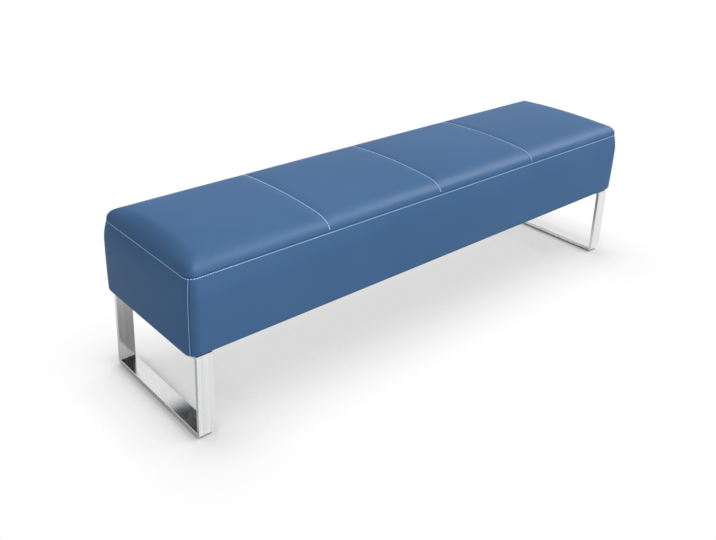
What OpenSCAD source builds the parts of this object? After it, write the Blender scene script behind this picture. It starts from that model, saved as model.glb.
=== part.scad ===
// Backless waiting bench: an upholstered block on two flat-bar loop legs.
// The floor is z = 0, the middle of the bench is x = 0 and y = 0, and the front faces -Y.

/* [Seat block] */
// Length of the upholstered block, end to end
seat_length = 1600; // [1200:10:2400]
// Depth of the upholstered block, front to rear
seat_depth = 400; // [340:5:600]
// Height of the side bands, from the underside to the top seam
band_height = 192; // [150:1:260]
// Width of the rolled edge round the top, seen from above
roll_width = 42; // [20:1:60]
// Rise of the rolled edge above the top seam
roll_rise = 25; // [12:1:50]
// Extra rise of the crown in the middle of the seat
crown_rise = 13; // [1:0.5:25]
// Plan radius of the four upright corners
corner_radius = 30; // [20:1:40]
// Radius at which the sides turn under the block
bottom_radius = 12; // [6:1:20]

/* [Sewn seams] */
// How far the sides draw in at the top seam
seam_draw = 10; // [2:0.5:12]
// How far the rolled edge stands proud of the top seam
seam_tuck = 1.5; // [0.5:0.1:2]
// Height over which the rolled edge turns in to the top seam
tuck_height = 2; // [1:0.5:5]
// How far the widest line of the sides lies below the top seam
bulge_drop = 55; // [30:1:70]
// How far the sides draw in at the underside
base_draw = 5; // [2:0.5:8]
// Depth of the channel that each cross seam sews into the top
channel_depth = 2.5; // [1:0.1:5]
// Half width of that channel
channel_spread = 11; // [6:1:25]
// Gap between two sewn pieces
seam_gap = 0.3; // [0.2:0.1:1]

/* [Legs] */
// Height of the underside of the block above the floor
leg_height = 218; // [150:1:320]
// Width of the flat bar
bar_width = 42; // [30:1:70]
// Thickness of the flat bar
bar_thickness = 10; // [8:1:14]
// Inside radius of the bar's corners
bar_bend_radius = 1; // [0.5:0.5:10]
// Broken edge of the bar
bar_chamfer = 0.6; // [0.2:0.1:2]
// Distance from the end of the block to the leg
leg_end_inset = 22; // [15:1:80]
// Distance from the front of the block to the leg
leg_side_inset = 8; // [6:1:30]

/* [Glides] */
// Length of a glide along the bar
glide_length = 64; // [40:1:90]
// Width of a glide across the bar
glide_width = 33; // [20:1:40]
// Height of a glide under the bar
glide_height = 4; // [3:0.5:8]
// Corner radius of a glide
glide_corner_radius = 6; // [3:1:9]
// Step between the glide and its smaller sole
glide_step = 1; // [0.5:0.1:1.5]
// Distance from the outer end of the bar to the glide
glide_end_gap = 9; // [4:1:30]
// Diameter of the pin that snaps into the bar
glide_pin_diameter = 8; // [5:0.5:10]
// Length of that pin
glide_pin_length = 7; // [4:0.5:7.5]

/* [Timber frame] */
// Height of the front and rear rails
rail_height = 90; // [60:1:110]
// Thickness of every rail
rail_thickness = 18; // [15:1:25]
// Thickness of the boards that carry the legs
board_thickness = 24; // [22:1:32]
// Length of those boards along the bench
board_length = 110; // [90:1:160]
// Thickness of the seat deck
deck_thickness = 9; // [6:1:12]
// Length of the short sides of a corner block
block_side = 45; // [25:1:60]
// Diameter of the vent holes in the deck
vent_diameter = 25; // [10:1:40]
// Number of vent holes in the deck
vent_count = 6; // [2:1:10]

/* [Padding and cover] */
// Thickness of the foam on the sides of the frame
side_foam_thickness = 10; // [5:1:20]
// Thickness of the leatherette with its bonded backing
cover_thickness = 2; // [1:0.1:3]
// Thickness of the non-woven dust cover
dust_cover_thickness = 1; // [0.5:0.1:1.5]
// Space left round every soft piece
soft_clearance = 0.3; // [0.2:0.1:0.5]

/* [Leg bolts] */
// Diameter of the leg bolts
bolt_diameter = 8; // [6:1:10]
// Length of the leg bolts under the head
bolt_length = 35; // [30:1:36]
// Diameter of the bolt's head
bolt_head_diameter = 14; // [12:0.5:16]
// Height of the bolt's head
bolt_head_height = 4.4; // [3:0.1:6]
// Width across the flats of the hexagon socket
socket_width = 5; // [4:0.5:6]
// Depth of the hexagon socket
socket_depth = 2.6; // [2:0.1:2.8]
// Outer diameter of the washers
washer_diameter = 18; // [17:0.5:22]
// Thickness of the washers
washer_thickness = 1.6; // [1:0.1:2.5]
// Diameter of the flange of a tee nut
nut_flange_diameter = 20; // [18:0.5:24]
// Thickness of that flange
nut_flange_thickness = 1.5; // [1:0.1:2]
// Outer diameter of the barrel of a tee nut
nut_barrel_diameter = 10.4; // [10:0.1:12]
// Length of the barrel of a tee nut
nut_barrel_length = 11; // [8:0.5:14]
// Play of a bolt in its holes in the bar and the board
bolt_hole_play = 1; // [0.5:0.1:1.5]
// Play of a pin, barrel or screw in its own hole
fit_play = 0.2; // [0.1:0.05:0.4]

/* [Screws and staples] */
// Diameter of the shank of the countersunk screws
screw_diameter = 4; // [3:0.5:5]
// Diameter of the screw heads
screw_head_diameter = 8; // [6:0.5:9]
// Height of the countersunk screw heads
screw_head_height = 2.5; // [2:0.1:3.5]
// Length of the point of a screw
screw_point = 4; // [2:0.5:6]
// Length of the screws that hold the deck
deck_screw_length = 35; // [25:1:40]
// Length of the screws that join the frame
frame_screw_length = 45; // [35:1:60]
// Number of deck screws along each long rail
deck_screw_count = 8; // [4:2:12]
// Width of the crown of a staple
staple_crown = 10; // [6:0.5:12]
// Thickness of the staple wire
staple_wire = 0.8; // [0.5:0.1:1]
// Length of the legs of a staple
staple_leg = 8; // [6:0.5:10]
// Distance from the outside of the frame to the hem's staples
staple_edge = 3.2; // [2:0.1:4]
// Distance from the edge of the dust cover to its staples
dust_staple_edge = 5; // [3:0.5:7]
// Spacing of the staples along the hem
staple_spacing = 80; // [50:5:150]
// Spacing of the staples along the dust cover
dust_staple_spacing = 160; // [80:10:300]

/* [Hidden] */
$fn = 48;

leatherette = "#4a6f9e";
chrome = "#d4d6d8";
foam = "#efe6c8";
plywood = "#d2b184";
pine = "#dcc08e";
zinc = "#b8bcc0";
black_cloth = "#2b2b2d";
grey_plastic = "#5a5c5e";

// Half sizes of the block, and its heights
half_length = seat_length / 2;
half_depth = seat_depth / 2;
seam_height = leg_height + band_height;
frame_floor = leg_height + cover_thickness;
rail_top = frame_floor + rail_height;
deck_top = rail_top + deck_thickness;
widest_height = seam_height - bulge_drop;
// Where the cross seams lie along the block, from its left end
cross_seam_shares = [0.24, 0.475, 0.715];
panel_count = len(cross_seam_shares) + 1;
panel_edges = concat([-half_length],
    [for (share = cross_seam_shares) (2 * share - 1) * half_length], [half_length]);
// Overrun of every cut past the face it opens
overrun = 1;

// Plan of the timber frame, set in from the widest line of the block
frame_inset = base_draw + cover_thickness + soft_clearance + side_foam_thickness;
frame_x = half_length - frame_inset;
frame_y = half_depth - frame_inset;
inner_y = frame_y - rail_thickness;
cross_rail_x = half_length / 2;

// Legs
leg_x = half_length - leg_end_inset - bar_width / 2;
leg_y = half_depth - leg_side_inset;
bolt_y_shares = [-0.73, -0.28, 0.28, 0.73];
glide_y = leg_y - glide_end_gap - glide_length / 2;
bolt_seat = leg_height - bar_thickness - washer_thickness;

// Rolled edge and crown of the top. An inset is measured inwards from the widest line of the block
panel_inset = seam_draw - seam_tuck;
roll_centre_inset = panel_inset + roll_width;
roll_steps = 6;
roll_turns = [for (k = [0:roll_steps]) 1 - cos(90 * k / roll_steps)];
middle_shares = [-0.5, 0, 0.5];
channel_shares = [0, 0.3, 0.7, 1.2, 2];
run_shares = [0.25, 0.5, 0.75];
crown_end_power = 30;

// Distance from a point inwards to the rounded outline that lies at an inset
function outline_gap(x, y, inset) =
    let(dx = abs(x) - (half_length - corner_radius), dy = abs(y) - (half_depth - corner_radius))
    dx > 0 && dy > 0
        ? corner_radius - inset - norm([dx, dy])
        : min(half_length - abs(x), half_depth - abs(y)) - inset;
// A column keeps its turn round the corner when the outline is set in
function column_x(x, inset) =
    let(past = abs(x) - (half_length - corner_radius))
    past <= 0 ? x : sign(x) * (half_length - corner_radius + past * (1 - inset / corner_radius));
function column_reach(x, inset) =
    let(past = abs(x) - (half_length - corner_radius), turn = corner_radius - inset)
    past <= 0
        ? half_depth - inset
        : half_depth - corner_radius + sqrt(max(0, turn * turn - past * past));
// Rows of a column: both rolled edges and the middle between them
function row_places(reach, roll) = concat(
    [for (turn = roll_turns) -reach + roll * turn],
    [for (share = middle_shares) share * (reach - roll)],
    [for (k = [roll_steps:-1:0]) reach - roll * roll_turns[k]]);
row_count = 2 * (roll_steps + 1) + len(middle_shares);
// Height of the top above its own base line
function crown_at(x, y) =
    crown_rise * (1 - pow(y / half_depth, 2)) * (1 - pow(abs(x) / half_length, crown_end_power));
function seam_distance(x) =
    min([for (k = [1:panel_count - 1]) abs(x - panel_edges[k])]);
function channel_at(x) = channel_depth * exp(-pow(seam_distance(x) / channel_spread, 2));
function top_point(x, y, inset, base, rise) =
    let(t = max(0, min(1, outline_gap(x, y, inset) / (roll_centre_inset - inset))))
    [x, y, base + rise * sqrt(1 - (1 - t) * (1 - t)) + t * (crown_at(x, y) - channel_at(x))];
// One sheet of the top: a column of points for each x in columns
function top_sheet(columns, inset, base, rise) = [
    for (x0 = columns)
        let(x = column_x(x0, inset), reach = column_reach(x, inset))
        for (y = row_places(reach, min(reach, roll_centre_inset - inset)))
            top_point(x, y, inset, base, rise)];
// Columns of one panel, closer together at its seams and at the ends of the block
edge_span = max(roll_width, corner_radius);
function seam_columns(at, direction) =
    [for (share = channel_shares) at + direction * (seam_gap / 2 + channel_spread * share)];
function end_columns(direction) =
    [for (turn = roll_turns) direction * (half_length - edge_span * turn)];
function reversed(list) = [for (k = [len(list) - 1:-1:0]) list[k]];
function panel_columns(k) =
    let(left = panel_edges[k - 1], right = panel_edges[k],
        first = k == 1 ? end_columns(-1) : seam_columns(left, 1),
        last = k == panel_count ? end_columns(1) : seam_columns(right, -1),
        from = first[len(first) - 1], to = last[len(last) - 1])
    concat(first, [for (share = run_shares) from + share * (to - from)], reversed(last));
// Order of the points on the edge of a sheet, front first, then right, rear and left
function sheet_rim(columns) = concat(
    [for (i = [0:columns - 1]) i * row_count],
    [for (j = [1:row_count - 1]) (columns - 1) * row_count + j],
    [for (i = [columns - 2:-1:0]) i * row_count + row_count - 1],
    [for (j = [row_count - 2:-1:1]) j]);
function sheet_faces(columns, up) = [
    for (i = [0:columns - 2], j = [0:row_count - 2])
        let(a = i * row_count + j, b = a + row_count, c = b + 1, d = a + 1)
        each (up ? [[a, c, b], [a, d, c]] : [[a, b, c], [a, c, d]])];
function shifted(faces, by) = [for (f = faces) [for (p = f) p + by]];
function loop_faces(upper, lower) = [
    for (k = [0:len(upper) - 1])
        let(n = (k + 1) % len(upper))
        each [[upper[k], upper[n], lower[n]], [upper[k], lower[n], lower[k]]]];

// Side profile of the block: how far it lies inside its widest line at a height
function side_inset(z) =
    z > widest_height
        ? seam_draw * pow((z - widest_height) / (seam_height - widest_height), 2)
        : base_draw * pow((widest_height - z) / (widest_height - leg_height), 2);
upper_shares = [0, 0.3, 0.6, 1];
lower_shares = [0.2, 0.4, 0.6, 0.8, 1];
turn_steps = 5;
band_top = seam_height - seam_gap / 2;
turn_height = leg_height + bottom_radius;
turn_inset = side_inset(turn_height) + bottom_radius;
band_heights = concat(
    [for (share = upper_shares) band_top + share * (widest_height - band_top)],
    [for (share = lower_shares) widest_height + share * (turn_height - widest_height)]);
function turn_arc(radius) = [
    for (k = [1:turn_steps])
        let(angle = 90 * k / turn_steps)
        [turn_inset - radius * cos(angle), turn_height - radius * sin(angle)]];
// Section of a band as [inset, height], from the top seam down and under to the hem's edge
band_section = concat(
    [for (z = band_heights) [side_inset(z), z]],
    turn_arc(bottom_radius),
    [[corner_radius, leg_height], [corner_radius, frame_floor]],
    reversed(turn_arc(bottom_radius - cover_thickness)),
    reversed([for (z = band_heights) [side_inset(z) + cover_thickness, z]]));
seam_turn = asin(seam_gap / 2 / corner_radius);

// A rounded rectangle made of plain squares and circles
module rounded_plan(size, radius) {
    square([size.x - 2 * radius, size.y], center = true);
    square([size.x, size.y - 2 * radius], center = true);
    for (sx = [-1, 1], sy = [-1, 1])
        translate([sx * (size.x / 2 - radius), sy * (size.y / 2 - radius)])
            circle(radius);
}

module span_box(low, high) {
    translate(low) cube(high - low);
}

// Flat bar bent into a closed loop that stands across the bench
module leg_loop(side) {
    run_y = leg_y - bar_bend_radius - bar_thickness;
    low_z = glide_height + bar_thickness + bar_bend_radius;
    high_z = leg_height - bar_thickness - bar_bend_radius;
    color(chrome)
    difference() {
        translate([side * leg_x, 0, 0])
        union() {
            for (end = [-1, 1]) {
                translate([0, end * (leg_y - bar_thickness / 2), low_z])
                    linear_extrude(high_z - low_z)
                    bar_section([bar_width, bar_thickness]);
                for (upper = [0, 1])
                    translate([0, end * run_y, upper ? high_z : low_z])
                    rotate([0, 90, 0])
                    rotate(upper ? (end > 0 ? 90 : 180) : (end > 0 ? 0 : -90))
                    rotate_extrude(angle = 90)
                    translate([bar_bend_radius + bar_thickness / 2, 0])
                    bar_section([bar_thickness, bar_width]);
            }
            for (z = [glide_height + bar_thickness / 2, leg_height - bar_thickness / 2])
                translate([0, run_y, z])
                rotate([90, 0, 0])
                linear_extrude(2 * run_y)
                bar_section([bar_width, bar_thickness]);
        }
        for (share = bolt_y_shares)
            translate([side * leg_x, share * leg_y, leg_height - bar_thickness - overrun])
            cylinder(d = bolt_diameter + bolt_hole_play, h = bar_thickness + 2 * overrun);
        for (end = [-1, 1])
            translate([side * leg_x, end * glide_y, glide_height - overrun])
            cylinder(d = glide_pin_diameter + fit_play, h = glide_pin_length + fit_play + overrun);
    }
}

// Section of the flat bar with its broken edges
module bar_section(size) {
    w = size.x / 2;
    t = size.y / 2;
    c = bar_chamfer;
    polygon([[c - w, -t], [w - c, -t], [w, c - t], [w, t - c],
        [w - c, t], [c - w, t], [-w, t - c], [-w, c - t]]);
}

// Plastic glide: a pad with a smaller sole and a pin that snaps into the bar
module glide(side, end) {
    color(grey_plastic)
    translate([side * leg_x, end * glide_y, 0]) {
        linear_extrude(glide_step)
            rounded_plan([glide_width - 2 * glide_step, glide_length - 2 * glide_step],
                glide_corner_radius - glide_step);
        translate([0, 0, glide_step])
            linear_extrude(glide_height - glide_step)
            rounded_plan([glide_width, glide_length], glide_corner_radius);
        translate([0, 0, glide_height])
            cylinder(d = glide_pin_diameter, h = glide_pin_length);
    }
}

// Every leg bolt stands on the middle line of its leg's bar
module at_leg_bolts(sides) {
    for (side = sides, share = bolt_y_shares)
        translate([side * leg_x, share * leg_y, bolt_seat])
        children();
}

module leg_bolts() {
    color(zinc)
    at_leg_bolts([-1, 1])
    difference() {
        union() {
            translate([0, 0, -bolt_head_height])
                cylinder(d = bolt_head_diameter, h = bolt_head_height);
            cylinder(d = bolt_diameter, h = bolt_length);
        }
        translate([0, 0, -bolt_head_height - overrun])
            cylinder(d = socket_width / cos(30), h = socket_depth + overrun, $fn = 6);
    }
}

module leg_washers() {
    color(zinc)
    at_leg_bolts([-1, 1])
    difference() {
        cylinder(d = washer_diameter, h = washer_thickness);
        translate([0, 0, -overrun])
            cylinder(d = bolt_diameter + bolt_hole_play / 2, h = washer_thickness + 2 * overrun);
    }
}

// A tee nut sinks its flange flush into the top of the leg board
nut_seat = frame_floor + board_thickness - nut_flange_thickness;
module tee_nuts() {
    color(zinc)
    for (side = [-1, 1], share = bolt_y_shares)
        translate([side * leg_x, share * leg_y, nut_seat])
        difference() {
            union() {
                cylinder(d = nut_flange_diameter, h = nut_flange_thickness);
                translate([0, 0, -nut_barrel_length])
                    cylinder(d = nut_barrel_diameter, h = nut_barrel_length);
            }
            translate([0, 0, -nut_barrel_length - overrun])
                cylinder(d = bolt_diameter + fit_play,
                    h = nut_barrel_length + nut_flange_thickness + 2 * overrun);
        }
}

// Board across the frame that the leg is bolted to
module leg_board(side) {
    color(plywood)
    difference() {
        mirror([side > 0 ? 1 : 0, 0, 0])
            span_box([-frame_x, -inner_y, frame_floor],
                [board_length - frame_x, inner_y, frame_floor + board_thickness]);
        for (share = bolt_y_shares)
            translate([side * leg_x, share * leg_y, frame_floor - overrun]) {
                cylinder(d = bolt_diameter + bolt_hole_play, h = board_thickness + 2 * overrun);
                translate([0, 0, board_thickness + overrun - nut_flange_thickness])
                    cylinder(d = nut_flange_diameter + fit_play,
                        h = nut_flange_thickness + overrun);
                translate([0, 0, board_thickness - nut_flange_thickness - nut_barrel_length])
                    cylinder(d = nut_barrel_diameter + fit_play,
                        h = nut_barrel_length + 2 * overrun);
            }
        frame_screw_shapes(fit_play);
        staple_shapes(fit_play);
    }
}

// Front and rear rails run the whole length of the frame
module long_rail(end) {
    color(pine)
    difference() {
        mirror([0, end > 0 ? 1 : 0, 0])
            span_box([-frame_x, -frame_y, frame_floor], [frame_x, -inner_y, rail_top]);
        frame_screw_shapes(fit_play);
        deck_screw_shapes(fit_play);
        staple_shapes(fit_play);
    }
}

// End rails stand on the leg boards
module end_rail(side) {
    color(pine)
    difference() {
        mirror([side > 0 ? 1 : 0, 0, 0])
            span_box([-frame_x, -inner_y, frame_floor + board_thickness],
                [rail_thickness - frame_x, inner_y, rail_top]);
        frame_screw_shapes(fit_play);
    }
}

module cross_rail(place) {
    color(pine)
    difference() {
        translate([place * cross_rail_x, 0, 0])
            span_box([-rail_thickness / 2, -inner_y, frame_floor],
                [rail_thickness / 2, inner_y, rail_top]);
        frame_screw_shapes(fit_play);
    }
}

// Three-cornered block glued into a corner of the frame, on the leg board
module corner_block(side, end) {
    color(pine)
    translate([side * (frame_x - rail_thickness), end * inner_y, frame_floor + board_thickness])
    linear_extrude(rail_height - board_thickness)
    polygon([[0, 0], [-side * block_side, 0], [0, -end * block_side]]);
}

module seat_deck() {
    color(plywood)
    difference() {
        span_box([-frame_x, -frame_y, rail_top], [frame_x, frame_y, deck_top]);
        deck_screw_shapes(fit_play);
        for (k = [1:vent_count])
            translate([(k - (vent_count + 1) / 2) * 2 * frame_x / (vent_count + 1), 0,
                rail_top - overrun])
            cylinder(d = vent_diameter, h = deck_thickness + 2 * overrun);
    }
}

// Countersunk screw that points down, with its head's face at z = 0; play widens it as a cutter
module screw_shape(length, play) {
    head = (screw_head_diameter + play) / 2;
    shank = (screw_diameter + play) / 2;
    rotate([180, 0, 0])
    rotate_extrude()
    polygon([[0, -play], [head, -play], [head, 0], [shank, screw_head_height],
        [shank, length - screw_point], [0, length + play]]);
}

module deck_screw_shapes(play) {
    for (end = [-1, 1], k = [1:deck_screw_count])
        translate([(k - (deck_screw_count + 1) / 2) * 2 * frame_x / (deck_screw_count + 1),
            end * (frame_y - rail_thickness / 2), deck_top])
        screw_shape(deck_screw_length, play);
}

module deck_screws() {
    color(zinc) deck_screw_shapes(0);
}

// Screws through the long rails into the ends of the boards, end rails and cross rails
end_rail_middle = frame_floor + board_thickness + (rail_height - board_thickness) / 2;
end_screw_rise = (rail_height - board_thickness) / 4;
board_screw_shares = [0.35, 0.8];
rail_screw_shares = [0.25, 0.7];
frame_screw_places = concat(
    [for (side = [-1, 1], share = board_screw_shares)
        [side * (frame_x - share * board_length), frame_floor + board_thickness / 2]],
    [for (side = [-1, 1], up = [-1, 1])
        [side * (frame_x - rail_thickness / 2), end_rail_middle + up * end_screw_rise]],
    [for (place = [-1, 0, 1], share = rail_screw_shares)
        [place * cross_rail_x, frame_floor + share * rail_height]]);
module frame_screw_shapes(play) {
    for (end = [-1, 1], place = frame_screw_places)
        translate([place[0], end * frame_y, place[1]])
        rotate([-end * 90, 0, 0])
        screw_shape(frame_screw_length, play);
}

module frame_screws() {
    color(zinc) frame_screw_shapes(0);
}

// Foam block on the deck, crowned like the cover and with its rolled edge
core_play = cover_thickness + soft_clearance;
core_inset = seam_draw + core_play;
core_columns = [for (k = [1:panel_count], x = panel_columns(k))
    if (k == 1 || x != panel_columns(k)[0]) x];
core_levels = [widest_height, deck_top];
module foam_core() {
    columns = len(core_columns);
    sheet = top_sheet(core_columns, core_inset, seam_height,
        roll_rise + tuck_height - core_play);
    rim = sheet_rim(columns);
    levels = [for (z = core_levels)
        let(below = top_sheet(core_columns, side_inset(z) + core_play, z, 0))
        [for (p = rim) [below[p].x, below[p].y, z]]];
    n = len(rim);
    first = len(sheet);
    loops = concat([rim], [for (k = [0:len(levels) - 1]) [for (p = [0:n - 1]) first + k * n + p]]);
    last = loops[len(loops) - 1];
    centre = first + len(levels) * n;
    color(foam)
    polyhedron(
        concat(sheet, [for (level = levels) each level], [[0, 0, deck_top]]),
        concat(sheet_faces(columns, true),
            [for (k = [0:len(loops) - 2]) each loop_faces(loops[k], loops[k + 1])],
            [for (k = [0:n - 1]) [last[k], last[(k + 1) % n], centre]]),
        convexity = 4);
}

// Foam on the sides of the frame, between the turned-under edge and the seat foam
module side_foam_ring() {
    inset = base_draw + cover_thickness + soft_clearance;
    translate([0, 0, turn_height])
    linear_extrude(deck_top - turn_height)
    difference() {
        rounded_plan([seat_length - 2 * inset, seat_depth - 2 * inset], corner_radius - inset);
        square([2 * frame_x, 2 * frame_y], center = true);
    }
}

module long_side_foam(end) {
    color(foam)
    intersection() {
        side_foam_ring();
        mirror([0, end > 0 ? 1 : 0, 0])
            span_box([-half_length, -half_depth, leg_height],
                [half_length, -frame_y, seam_height]);
    }
}

module end_side_foam(side) {
    color(foam)
    intersection() {
        side_foam_ring();
        mirror([side > 0 ? 1 : 0, 0, 0])
            span_box([-half_length, -frame_y, leg_height], [-frame_x, frame_y, seam_height]);
    }
}

// One sewn panel of the top: crowned, rolled over at the front and rear, and turned in at its seams
module top_panel(k) {
    columns = panel_columns(k);
    count = len(columns);
    edge = seam_height + seam_gap / 2;
    outer = top_sheet(columns, panel_inset, edge + tuck_height, roll_rise);
    inner = top_sheet(columns, seam_draw + cover_thickness, edge,
        roll_rise + tuck_height - cover_thickness);
    tucked = top_sheet(columns, seam_draw, edge, 0);
    rim = sheet_rim(count);
    last = (count - 1) * row_count;
    // A point on a cross seam lies half way through the cover, any other on the top seam's line
    function on_cross_seam(p) =
        let(row = p % row_count, column = floor(p / row_count))
        row > 0 && row < row_count - 1
            && ((column == 0 && k > 1) || (column == count - 1 && k < panel_count));
    turned = [for (p = rim)
        on_cross_seam(p) ? (outer[p] + inner[p]) / 2 : [tucked[p].x, tucked[p].y, edge]];
    first = len(outer);
    middle = [for (p = [0:len(rim) - 1]) 2 * first + p];
    color(leatherette)
    polyhedron(
        concat(outer, inner, turned),
        concat(sheet_faces(count, true), shifted(sheet_faces(count, false), first),
            loop_faces(rim, middle), loop_faces(middle, [for (p = rim) p + first])),
        convexity = 6);
}

// Side band of the cover, turned under to its hem, from corner seam to corner seam
module band(run, reach) {
    rotate([90, 0, 90])
        linear_extrude(run, center = true)
        polygon([for (p = band_section) [p[0] - reach, p[1]]]);
    for (side = [0, 1])
        mirror([side, 0, 0])
        translate([run / 2, corner_radius - reach, 0])
        rotate(-90)
        rotate_extrude(angle = 45 - seam_turn)
        polygon([for (p = band_section) [corner_radius - p[0], p[1]]]);
}

module long_band(end) {
    color(leatherette)
    difference() {
        rotate(end > 0 ? 180 : 0) band(seat_length - 2 * corner_radius, half_depth);
        staple_shapes(fit_play);
    }
}

module end_band(side) {
    color(leatherette)
    difference() {
        rotate(side * 90) band(seat_depth - 2 * corner_radius, half_length);
        staple_shapes(fit_play);
    }
}

// Dust cover under the frame, between the hems
dust_x = half_length - corner_radius - soft_clearance;
dust_y = half_depth - corner_radius - soft_clearance;
module dust_cover() {
    color(black_cloth)
    difference() {
        span_box([-dust_x, -dust_y, frame_floor - dust_cover_thickness],
            [dust_x, dust_y, frame_floor]);
        for (side = [-1, 1], share = bolt_y_shares)
            translate([side * leg_x, share * leg_y, leg_height - overrun])
            cylinder(d = bolt_diameter + bolt_hole_play, h = cover_thickness + 2 * overrun);
        staple_shapes(fit_play);
    }
}

// A staple with its crown along x and its legs pointing up; its crown touches z = 0 from below
module staple_shape(play) {
    w = (staple_crown + play) / 2;
    t = staple_wire + play;
    rotate([90, 0, 0])
    linear_extrude(t, center = true)
    polygon([[-w, -t], [w, -t], [w, staple_leg + play], [w - t, staple_leg + play],
        [w - t, play / 2], [t - w, play / 2], [t - w, staple_leg + play], [-w, staple_leg + play]]);
}

function spread(run, spacing) =
    let(n = max(2, round(run / spacing)))
    [for (k = [1:n]) (k - (n + 1) / 2) * run / n];

// Staples hold the hem and the dust cover, clear of the legs
hem_run = 2 * (leg_x - bar_width / 2 - staple_crown);
end_run = 2 * (dust_y - staple_crown);
hem_staple_inset = frame_inset + staple_edge;
module staple_shapes(play) {
    for (end = [-1, 1]) {
        for (x = spread(hem_run, staple_spacing))
            translate([x, end * (half_depth - hem_staple_inset), leg_height])
            staple_shape(play);
        for (x = spread(hem_run, dust_staple_spacing))
            translate([x, end * (dust_y - dust_staple_edge), frame_floor - dust_cover_thickness])
            staple_shape(play);
        for (y = spread(end_run, staple_spacing))
            translate([end * (half_length - hem_staple_inset), y, leg_height])
            rotate(90)
            staple_shape(play);
    }
}

module cover_staples() {
    color(zinc) staple_shapes(0);
}

leg_loop(-1);  // left_leg_loop
leg_loop(1);  // right_leg_loop
glide(-1, -1);  // front_left_glide
glide(-1, 1);  // rear_left_glide
glide(1, -1);  // front_right_glide
glide(1, 1);  // rear_right_glide
leg_bolts();
leg_washers();
tee_nuts();
leg_board(-1);  // left_leg_board
leg_board(1);  // right_leg_board
long_rail(-1);  // front_rail
long_rail(1);  // rear_rail
end_rail(-1);  // left_end_rail
end_rail(1);  // right_end_rail
cross_rail(-1);  // left_cross_rail
cross_rail(0);  // centre_cross_rail
cross_rail(1);  // right_cross_rail
corner_block(-1, -1);  // front_left_corner_block
corner_block(-1, 1);  // rear_left_corner_block
corner_block(1, -1);  // front_right_corner_block
corner_block(1, 1);  // rear_right_corner_block
seat_deck();
deck_screws();
frame_screws();
foam_core();
long_side_foam(-1);  // front_side_foam
long_side_foam(1);  // rear_side_foam
end_side_foam(-1);  // left_side_foam
end_side_foam(1);  // right_side_foam
top_panel(1);  // top_panel_1
top_panel(2);  // top_panel_2
top_panel(3);  // top_panel_3
top_panel(4);  // top_panel_4
long_band(-1);  // front_band
long_band(1);  // rear_band
end_band(-1);  // left_end_band
end_band(1);  // right_end_band
dust_cover();
cover_staples();
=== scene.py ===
# Backless waiting bench: an upholstered leatherette block on two loops of chromed flat bar
import math
import bmesh
import bpy
import numpy as np
from mathutils import Matrix, Vector
from mathutils.bvhtree import BVHTree


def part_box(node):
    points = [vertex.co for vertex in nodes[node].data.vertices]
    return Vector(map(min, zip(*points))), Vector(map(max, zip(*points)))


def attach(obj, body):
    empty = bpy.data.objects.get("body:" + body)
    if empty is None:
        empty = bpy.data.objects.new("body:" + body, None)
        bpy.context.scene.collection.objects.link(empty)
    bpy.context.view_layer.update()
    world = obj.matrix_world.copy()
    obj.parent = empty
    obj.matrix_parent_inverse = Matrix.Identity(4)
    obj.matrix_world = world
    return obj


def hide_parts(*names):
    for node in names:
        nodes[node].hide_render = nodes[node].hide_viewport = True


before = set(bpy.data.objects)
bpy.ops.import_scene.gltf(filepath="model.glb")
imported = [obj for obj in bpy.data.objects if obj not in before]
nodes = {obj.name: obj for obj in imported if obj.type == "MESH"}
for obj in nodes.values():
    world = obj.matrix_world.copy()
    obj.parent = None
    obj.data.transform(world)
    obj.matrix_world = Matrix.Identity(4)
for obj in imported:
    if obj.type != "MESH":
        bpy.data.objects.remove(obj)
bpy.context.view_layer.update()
bpy.ops.object.select_all(action="DESELECT")
print("frame loaded:", len(nodes), "nodes")


def pick(piece):
    # makes one object the only selected and active one
    bpy.ops.object.select_all(action="DESELECT")
    piece.select_set(True)
    bpy.context.view_layer.objects.active = piece


def shownObject(name, mesh):
    piece = bpy.data.objects.new(name, mesh)
    bpy.context.scene.collection.objects.link(piece)
    pick(piece)
    return piece


def applyModifier(piece, kind, **settings):
    pick(piece)
    modifier = piece.modifiers.new(kind.title(), kind)
    for name, value in settings.items():
        setattr(modifier, name, value)
    bpy.ops.object.modifier_apply(modifier=modifier.name)


def coordinates(mesh):
    co = np.empty(len(mesh.vertices) * 3)
    mesh.vertices.foreach_get("co", co)
    return co.reshape(-1, 3)


def setCoordinates(mesh, co):
    mesh.vertices.foreach_set("co", np.asarray(co, float).ravel())
    mesh.update()


def weldedCopy(nodeName, pieceName):
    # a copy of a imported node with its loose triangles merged, ready to be worked on
    piece = shownObject(pieceName, nodes[nodeName].data.copy())
    piece.data.materials.clear()
    if piece.data.has_custom_normals:
        bpy.ops.mesh.customdata_custom_splitnormals_clear()
    bpy.ops.object.mode_set(mode="EDIT")
    bpy.ops.mesh.select_all(action="SELECT")
    bpy.ops.mesh.remove_doubles(threshold=1e-6)
    bpy.ops.object.mode_set(mode="OBJECT")
    return piece


def finishPiece(piece, material, replaced=()):
    piece.data.materials.clear()
    piece.data.materials.append(material)
    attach(piece, "root")
    if replaced:
        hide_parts(*replaced)


def linear(hexColour):
    # an sRGB hex colour as the linear colour that a socket takes
    parts = [int(hexColour[k:k + 2], 16) / 255 for k in (1, 3, 5)]
    return [p / 12.92 if p <= 0.04045 else ((p + 0.055) / 1.055) ** 2.4 for p in parts] + [1]


def newMaterial(name, **sockets):
    made = bpy.data.materials.new(name)
    made.use_nodes = True
    shader = made.node_tree.nodes["Principled BSDF"]
    for socket, value in sockets.items():
        shader.inputs[socket.replace("_", " ")].default_value = value
    return made, made.node_tree, shader


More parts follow.
